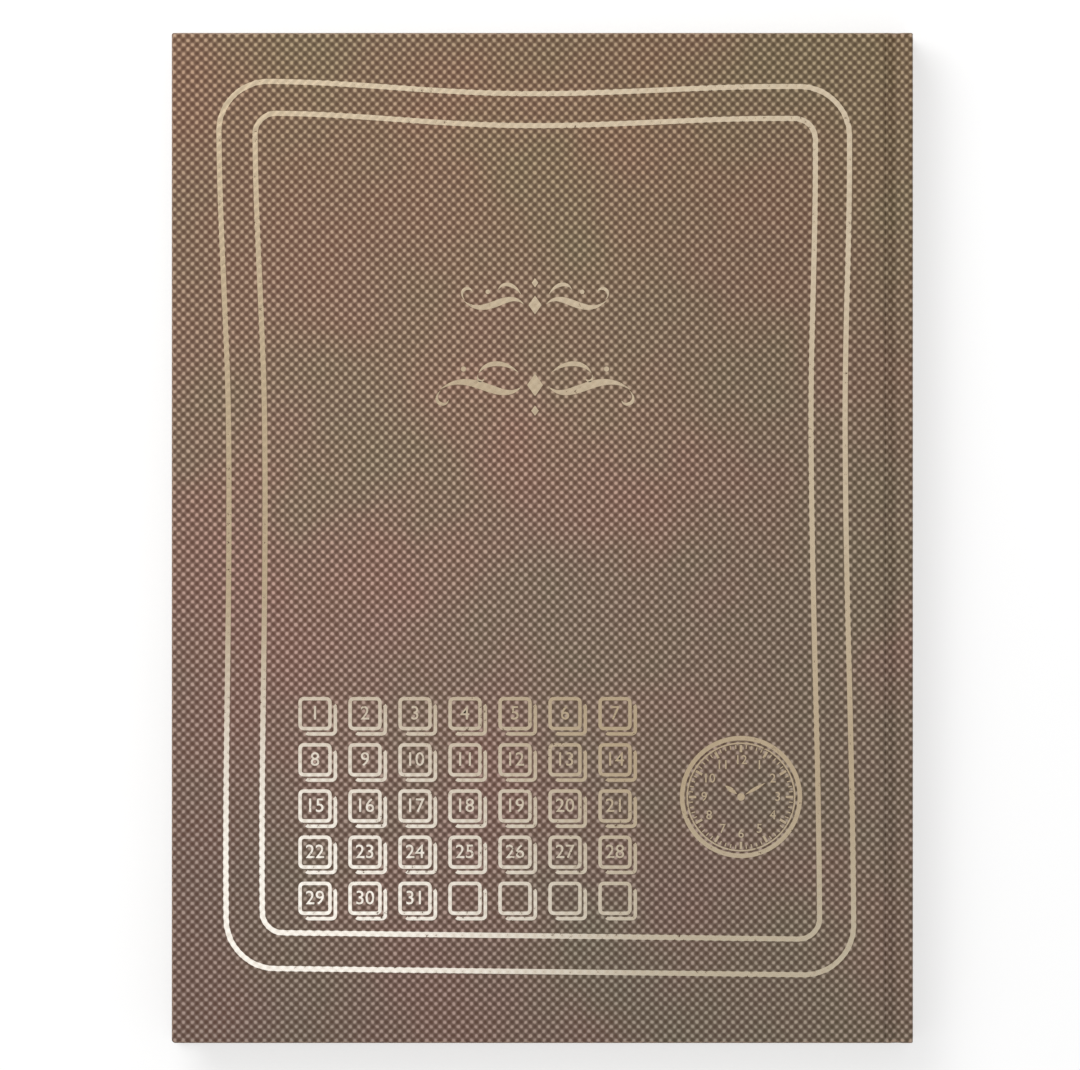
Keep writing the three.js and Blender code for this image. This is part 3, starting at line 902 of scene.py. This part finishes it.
def paper_sheet(name, side, body, lift, stock, bend, columns, rows=LEAF_ROWS, sink=None, edge_tone=0.5):
    """A flat sheet of paper at its lift on one cover's side, with its cut edges marked."""
    (thickness, material, slot), (start, end) = stock, bend

    def place(u, v):
        return u, v, side_height(side, lift - (sink(u, v) if sink else 0.0))

    bm = sheet(columns, rows, place, lambda u, v: edge_tone)
    face_outward(bm, side)
    thicken(bm, thickness)
    made = finish_piece(name, bm, material)
    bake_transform(made)
    return made


def endpapers(side):
    """A pastedown and its flyleaf."""
    name, body = f"{side}_pastedown_sheet", f"{side}_cover"
    shape = {"columns": PASTEDOWN_COLUMNS, "rows": PASTEDOWN_ROWS, "sink": pastedown_sink}
    pastedown = paper_sheet(name, side, body, PASTEDOWN_LIFT, ENDPAPER_STOCK, PASTEDOWN_BEND, **shape)
    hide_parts(f"{side}_pastedown", f"{side}_endpaper_fold")
    name, body = f"{side}_flyleaf_sheet", f"{side}_flyleaf"
    flyleaf = paper_sheet(name, side, body, FLYLEAF_LIFT, ENDPAPER_STOCK, LEAF_BEND, FLYLEAF_COLUMNS)
    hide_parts(f"{side}_flyleaf")


def turning_leaf(side, place):
    """One of the eight leaves next to a cover, counted from the cover; leaf 1 is the first of the book."""
    number = place + 1 if side == "front" else SIGNATURE_COUNT * LEAVES_PER_SIGNATURE - place
    lift, tone = BLOCK_LIFT + place * LEAF_PITCH, place * 0.37 % 1
    name, body = f"leaf_{number:02d}_sheet", f"leaf_{number:02d}"
    leaf = paper_sheet(name, side, body, lift, PAGE_STOCK, LEAF_BEND, LEAF_COLUMNS, edge_tone=tone)
    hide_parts(f"leaf_{number:02d}")


def signature_sheets(number):
    """One sewn signature: eight leaves with their own fore-edges, held by a rounded fold."""
    low = BLOCK_LIFT + (SIGNATURE_COUNT - number) * SIGNATURE_PITCH
    radius = SIGNATURE_THICKNESS / 2
    trim = np.random.default_rng(number)
    outline = []
    for step in range(9):
        angle = pi * (step / 8 - 0.5)
        outline.append((FOLD_X - radius + radius * cos(angle), low + radius + radius * sin(angle)))
    for leaf_number in reversed(range(LEAVES_PER_SIGNATURE)):
        bottom = low + leaf_number * LEAF_PITCH
        edge = LEAF_FORE_EDGE + float(trim.uniform(0.0, TRIM_UNEVENNESS))
        outline += [(edge, bottom + PAPER), (edge, bottom)]
        if leaf_number:
            gap = FOLD_X - radius - SLIT_END
            outline += [(gap, bottom), (gap, bottom - LEAF_PITCH + PAPER)]
    bm = bmesh.new()
    section = bm.faces.new([bm.verts.new((x, -LEAF_HEAD, z)) for x, z in outline])
    moved = new_points(ops.extrude_face_region(bm, geom=[section]))
    move(bm, (0, 2 * LEAF_HEAD, 0), moved)
    point_outward(bm)
    made = finish_piece(f"signature_{number:02d}_sheets", bm, page_block)
    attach(made, "text_block")
    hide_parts(f"signature_{number:02d}")


for cover_side in SIDES:
    endpapers(cover_side)
    for leaf_place in range(LEAVES_PER_SIGNATURE):
        turning_leaf(cover_side, leaf_place)
for signature_number in range(2, SIGNATURE_COUNT):
    signature_sheets(signature_number)


# ---- headbands
BEAD_RADIUS = 0.8
BEAD_X = 102.42
BEAD_Y = LEAF_HEAD + 0.82
BEAD_CLOSING = 0.12
TAPE_X = (102.92, 103.22)
TAPE_LENGTH = 12.0


def headband_bead(end):
    """A wound silk bead over the ends of the folds, with the tape that it is worked on."""

    def place(u, v):
        ridge = abs(sin(pi * (u - BLOCK_LIFT) / BEAD_PITCH)) ** 0.6
        from_end = min(u - BLOCK_LIFT, BLOCK_LIFT + BLOCK_THICKNESS - u)
        closing = min(1.0, (from_end / BEAD_CLOSING) ** 0.5)
        radius = BEAD_RADIUS * (0.86 + 0.14 * ridge) * closing
        return BEAD_X + radius * cos(v), end * (BEAD_Y + radius * sin(v)), u

    bm = sheet(evenly(BLOCK_LIFT, BLOCK_LIFT + BLOCK_THICKNESS, 128), evenly(0, 2 * pi, 14), place)
    weld(bm)
    near, far = LEAF_HEAD - TAPE_LENGTH, BEAD_Y
    middle = (sum(TAPE_X) / 2, end * (near + far) / 2, BLOCK_LIFT + BLOCK_THICKNESS / 2)
    add_box(bm, (TAPE_X[1] - TAPE_X[0], far - near, BLOCK_THICKNESS - 0.1), middle)
    point_outward(bm)
    node = "headband" if end > 0 else "tailband"
    made = finish_piece(f"{node}_beads", bm, headband_silk)
    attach(made, "text_block")
    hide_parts(node)


for piece_end in ENDS:
    headband_bead(piece_end)


# ---- gold stamping
FOIL_TOP = CASE_THICKNESS - 0.005
FOIL_DEEP = 0.13
NIBBLE = 0.08


def nibble(bm):
    """Moves the foil's edge out where it meets a raised dot and in between dots."""
    pushes = {}
    for edge in bm.edges:
        if not edge.is_boundary:
            continue
        a, b = edge.verts
        along = (b.co - a.co).normalized()
        out = Vector((along.y, -along.x, 0))
        if out.dot(edge.link_faces[0].calc_center_median() - a.co) > 0:
            out.negate()
        for vertex in (a, b):
            pushes[vertex] = pushes.get(vertex, Vector((0, 0, 0))) + out
    for vertex, out in pushes.items():
        if out.length > 1e-6:
            vertex.co += out.normalized() * NIBBLE * embossing(vertex.co.x, vertex.co.y)


def stamp(name, bm):
    """Gives flat foil its thickness, on the front cover."""
    weld(bm)
    for vertex in bm.verts:
        vertex.co.z = FOIL_TOP
    moved = new_points(ops.extrude_face_region(bm, geom=bm.faces[:]))
    move(bm, (0, 0, -FOIL_DEEP), moved)
    point_outward(bm)
    made = finish_piece(name, bm, foil, sharp=30)
    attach(made, "front_cover")
    return made


# Each side of the border, from the spine's: how far out the cover's edge lies, how far in from there the line
# starts and ends, how far it bows in, at which share of its run, and how far in the inner line follows.
LINE_WIDTH = 1.5
BORDER_STEP = 0.65
BORDER_SIDES = (
    {"edge": SPINE_FACE, "start": 17.2, "end": 18.4, "bow": 1.7, "deepest": 0.62, "spacing": 9.8},
    {"edge": HEAD, "start": 15.5, "end": 14.0, "bow": 2.8, "deepest": 0.53, "spacing": 9.2},
    {"edge": SPINE_FACE, "start": 13.6, "end": 15.7, "bow": 2.0, "deepest": 0.39, "spacing": 10.4},
    {"edge": HEAD, "start": 21.5, "end": 19.7, "bow": 0.0, "deepest": 0.5, "spacing": 10.3},
)
OUTWARD = [Vector(way) for way in ((1, 0), (0, 1), (-1, 0), (0, -1), (1, 0))]


def border_run(spacings, radius):
    """One line of the border as a closed run of points and outward ways."""

    def line_end(index, end):
        side = BORDER_SIDES[index % 4]
        return OUTWARD[index] * (side["edge"] - side[end] - spacings * side["spacing"])

    corners = [line_end(index, "end") + line_end(index + 1, "start") for index in range(4)]
    run = []
    for index, side in enumerate(BORDER_SIDES):
        out, onward = OUTWARD[index : index + 2]
        start = corners[index - 1] + onward * radius
        end = corners[index] - onward * radius
        steps = max(2, round((end - start).length / BORDER_STEP))
        for step in range(steps + 1):
            share = step / steps
            turn = share / side["deepest"] if share < side["deepest"] else (1 - share) / (1 - side["deepest"])
            bow = side["bow"] * (1 - cos(pi * turn)) / 2
            run.append((start.lerp(end, share) - out * bow, out))
        centre = end - out * radius
        arc_steps = max(3, round(radius * pi / 2 / BORDER_STEP))
        for step in range(1, arc_steps):
            angle = (index + step / arc_steps) * pi / 2
            way = Vector((cos(angle), sin(angle)))
            run.append((centre + way * radius, way))
    return [*run, run[0]]


def border_line(name, node, spacings, radius):
    run = border_run(spacings, radius)

    def place(u, v):
        point, out = run[u]
        return (*(point + out * v), 0)

    bm = sheet(range(len(run)), evenly(-LINE_WIDTH / 2, LINE_WIDTH / 2, 2), place)
    weld(bm)
    nibble(bm)
    made = stamp(name, bm)
    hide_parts(node)


border_line("border_line_outer", "foil_border_outer", 0, 14.3)
border_line("border_line_inner", "foil_border_inner", 1, 6.0)


# ---- stamped shapes
STROKE_TIP = 0.08
NUMBER_WEIGHT = 0.022


def merge(bm, part):
    """Adds one bmesh to another."""
    mesh = bpy.data.meshes.new("part")
    part.to_mesh(mesh)
    part.free()
    bm.from_mesh(mesh)
    bpy.data.meshes.remove(mesh)


def add_disc(bm, centre, wide, high, segments):
    """A flat round, or a lozenge if it has four segments."""
    made = ops.create_circle(bm, cap_ends=True, radius=1, segments=segments)["verts"]
    ops.scale(bm, vec=(wide / 2, high / 2, 1), verts=made)
    move(bm, (*centre, 0), made)
    return made[0].link_faces[0]


def hollow(bm, faces, width):
    """Leaves a line of that width along the border of flat faces."""
    ops.inset_region(bm, faces=faces, thickness=width, use_boundary=True, use_even_offset=True)
    ops.delete(bm, geom=faces, context="FACES_ONLY")


def add_stroke(bm, points, width, steps=24):
    """A foil stroke along a smooth curve with four guide points, thick in its middle, with pointed ends."""
    guides = [Vector(point) for point in points]

    def on_curve(share):
        back = 1 - share
        return (
            guides[0] * back**3
            + guides[1] * 3 * back**2 * share
            + guides[2] * 3 * back * share**2
            + guides[3] * share**3
        )

    def place(share, across):
        way = on_curve(min(1, share + 1e-3)) - on_curve(max(0, share - 1e-3))
        way = way.normalized() if way.length > 1e-9 else Vector((1, 0))
        half = max(STROKE_TIP, width * sin(pi * share) ** 0.9) / 2
        return (*(on_curve(share) + Vector((-way.y, way.x)) * half * across), 0)

    merge(bm, sheet(evenly(0, 1, steps), [-1, 0, 1], place))


def add_number(bm, text, centre, size):
    """A plain number as flat faces."""
    curve = bpy.data.curves.new("number", "FONT")
    curve.body = text
    curve.size = size
    curve.offset = NUMBER_WEIGHT
    curve.resolution_u = 3
    curve.align_x = curve.align_y = "CENTER"
    words = in_scene("number", curve)
    bpy.context.view_layer.update()
    mesh = bpy.data.meshes.new_from_object(words)
    mesh.transform(Matrix.Translation((*centre, 0)))
    bm.from_mesh(mesh)
    bpy.data.objects.remove(words)
    bpy.data.curves.remove(curve)
    bpy.data.meshes.remove(mesh)


# ---- month block
DAY_PITCH = (14.4, 13.3)
DAY_SIZE = 9.6
DAY_LINE = 1.0
DAY_CORNER = 1.5
DAY_SHIFT = 1.55
DAY_NUMBER_SIZE = 5.6
MONTH_CENTRE = photo_place(465, 806)


def add_day_square(bm, centre):
    """A rounded square, with a second line along its lower and right sides."""
    part = bmesh.new()
    ops.create_grid(part, x_segments=1, y_segments=1, size=DAY_SIZE / 2)
    round_off(part, part.verts[:], DAY_CORNER, "VERTICES")
    hollow(part, part.faces[:], DAY_LINE)
    second = ops.duplicate(part, geom=part.faces[:] + part.edges[:] + part.verts[:])
    move(part, (DAY_SHIFT, -DAY_SHIFT, 0), new_points(second))

    def hidden(face):
        """Whether a face of the second square lies behind the first one, on its upper or left side."""
        x, y, _ = face.calc_center_median() - Vector((DAY_SHIFT, -DAY_SHIFT, 0))
        half = DAY_SIZE / 2 - DAY_LINE - 0.1
        return x < y + 0.1 and not x > half > y and not y < -half < x

    faces = [g for g in second["geom"] if isinstance(g, bmesh.types.BMFace)]
    ops.delete(part, geom=[face for face in faces if hidden(face)], context="FACES")
    move(part, (*centre, 0), part.verts[:])
    merge(bm, part)


def month_block():
    """Five rows of seven day squares with their numbers."""
    bm = bmesh.new()
    (x, y), (wide, high) = MONTH_CENTRE, DAY_PITCH
    squares = [(x + across * wide, y - down * high) for down in range(-2, 3) for across in range(-3, 4)]
    for centre in squares:
        add_day_square(bm, centre)
    for day, centre in enumerate(squares[:31], 1):
        add_number(bm, str(day), centre, DAY_NUMBER_SIZE)
    stamp("foil_month_block", bm)


# ---- clock dial
DIAL_CENTRE = Vector(photo_place(741, 797))
DIAL_RINGS = ((17.6, 1.3), (15.7, 0.45))  # radius and width
MARK_OUTER = 15.0
MINUTE_MARK = (13.9, 0.16)  # inner end and half width
HOUR_MARK = (12.9, 0.36)
HOUR_RADIUS = 10.6
HOUR_SIZE = 3.7
HANDS = ((-54, 5.6, 1.3), (60, 8.0, 0.95))  # degrees from 12, length and width
HAND_START = 1.5
HUB_RADIUS = 1.1


def dial_way(angle):
    """The way from the dial's centre at an angle from 12 o'clock."""
    return Vector((sin(angle), cos(angle)))


def clock_dial():
    """A plain round clock dial: two rings, minute marks, numbers and two hands."""
    bm = bmesh.new()
    for radius, width in DIAL_RINGS:
        hollow(bm, [add_disc(bm, DIAL_CENTRE, 2 * radius, 2 * radius, 96)], width)
    for minute in range(60):
        way = dial_way(pi / 30 * minute)
        side = Vector((way.y, -way.x))
        inner, half = MINUTE_MARK if minute % 5 else HOUR_MARK
        corners = [(inner, -half), (inner, half), (MARK_OUTER, half), (MARK_OUTER, -half)]
        points = [DIAL_CENTRE + way * along + side * across for along, across in corners]
        bm.faces.new([bm.verts.new((*point, 0)) for point in points])
    for hour in range(1, 13):
        add_number(bm, str(hour), DIAL_CENTRE + dial_way(pi / 6 * hour) * HOUR_RADIUS, HOUR_SIZE)
    for angle, length, width in HANDS:
        way = dial_way(radians(angle))
        add_stroke(bm, [DIAL_CENTRE + way * at for at in evenly(HAND_START, length, 3)], width, 8)
    add_disc(bm, DIAL_CENTRE, 2 * HUB_RADIUS, 2 * HUB_RADIUS, 16)
    stamp("foil_clock_dial", bm)


# ---- divider
# For each stroke of the right half: its tier's middle, four guide points from there, its width and, for the
# longest one, its steps. For each lozenge: how far up it lies from its tier's middle, its width and height.
UPPER = photo_place(535, 305)
LOWER = photo_place(535, 385)
DIVIDER_STROKES = (
    (UPPER, [(3.2, 0.2), (8, 5.2), (14, -4.6), (20.5, 1.2)], 1.9),
    (UPPER, [(20.3, 1.4), (22.6, 4.4), (18.6, 6.0), (18.0, 3.6)], 0.9),
    (UPPER, [(4.0, 3.0), (6.0, 6.4), (9.4, 6.8), (10.6, 4.4)], 1.1),
    (LOWER, [(3.8, -0.4), (10, -6.4), (18, 5.6), (27.5, -1.4)], 2.3, 32),
    (LOWER, [(27.2, -1.6), (30.4, -5.0), (25.6, -7.0), (24.8, -4.2)], 1.0),
    (LOWER, [(4.8, 3.6), (9.0, 7.4), (14.6, 6.6), (16.2, 3.4)], 1.4),
    (LOWER, [(16.4, 3.0), (17.2, 1.0), (14.8, 0.6), (14.6, 2.0)], 0.7),
)
DIVIDER_DOTS = ((LOWER, (20.6, 4.6), 1.5), (UPPER, (13.6, 3.8), 1.3))
LOZENGES = ((UPPER, 0.0, 3.8, 5.4), (LOWER, 0.0, 4.6, 6.6), (LOWER, -7.4, 2.2, 3.0), (UPPER, 6.4, 1.9, 2.7))


def divider():
    """Two tiers of tapered scrolls with lozenges, the same to the left and the right."""
    bm = bmesh.new()
    for mirror in (1, -1):
        for (x, y), points, *shape in DIVIDER_STROKES:
            add_stroke(bm, [(x + mirror * across, y + up) for across, up in points], *shape)
        for (x, y), (across, up), size in DIVIDER_DOTS:
            add_disc(bm, (x + mirror * across, y + up), size, size, 16)
    for (x, y), up, wide, high in LOZENGES:
        add_disc(bm, (x, y + up), wide, high, 4)
    stamp("foil_divider", bm)


month_block()
clock_dial()
divider()


# ---- solids that show as they are
def finish_nodes(material, *names):
    for name in names:
        nodes[name].data.materials.clear()
        nodes[name].data.materials.append(material)


finish_nodes(greyboard, "front_board", "back_board", "spine_board")
finish_nodes(mull, "front_mull_flange", "back_mull_flange", "mull_lining")
finish_nodes(kraft, "kraft_lining")
finish_nodes(page_block, "signature_01_fold", f"signature_{SIGNATURE_COUNT}_fold")
finish_nodes(thread, *(f"sewing_thread_{station}" for station in range(1, 5)))


# ---- floor and light
FLOOR_HALF_WIDTH = 4000
FLOOR_GAP = 0.1
AMBIENT = 0.62


def grey(value):
    return (value, value, value, 1)


def make_floor():
    """A white floor that shows from above only."""
    bm = bmesh.new()
    ops.create_grid(bm, x_segments=1, y_segments=1, size=FLOOR_HALF_WIDTH)
    move(bm, (0, 0, -FLOOR_GAP), bm.verts[:])
    n = Surface("pale floor", Roughness=0.9, Specular_IOR_Level=0.0, Emission_Strength=1)
    rays = n.add("ShaderNodeLightPath").outputs
    seen = n.math("MAXIMUM", rays["Is Camera Ray"], rays["Is Glossy Ray"])
    n.feed(n.shader, Base_Color=n.mix(seen, grey(0.4), grey(0.45)))
    n.feed(n.shader, Emission_Color=n.mix(seen, grey(0.3), grey(0.58)))
    backfacing = n.add("ShaderNodeNewGeometry").outputs["Backfacing"]
    clear = n.add("ShaderNodeBsdfTransparent").outputs[0]
    one_sided = n.ordered("ShaderNodeMixShader", (backfacing, n.shader.outputs[0], clear))
    n.put(n.tree.nodes["Material Output"].inputs["Surface"], one_sided)
    finish_piece("floor", bm, n.material)


def make_world():
    """White where it is seen or mirrored, and dimmer as light."""
    world = bpy.data.worlds.new("studio")
    world.use_nodes = True
    scene.world = world
    n = Nodes(world.node_tree)
    rays = n.add("ShaderNodeLightPath").outputs
    seen = n.math("MAXIMUM", rays["Is Camera Ray"], rays["Is Glossy Ray"])
    seen = n.math("MAXIMUM", seen, rays["Is Transmission Ray"])
    background = world.node_tree.nodes["Background"]
    n.feed(background, Color=grey(1), Strength=n.linear(seen, 1.0 - AMBIENT, AMBIENT))


def soft_lamp(name, place, size, power):
    """A square lamp that points at the book; its place and size are in metres, its power in watts."""
    data = bpy.data.lights.new(name, "AREA")
    data.size = size
    data.energy = power
    made = in_scene(name, data)
    made.location = place
    made.rotation_mode = "QUATERNION"
    made.rotation_quaternion = (-Vector(place)).to_track_quat("-Z", "Y")


make_floor()
make_world()
soft_lamp("window", (-0.42, 0.6, 0.82), 0.7, 6.6)
soft_lamp("fill", (0.9, -0.6, 1.9), 1.4, 2)
scene.view_settings.view_transform = "Standard"
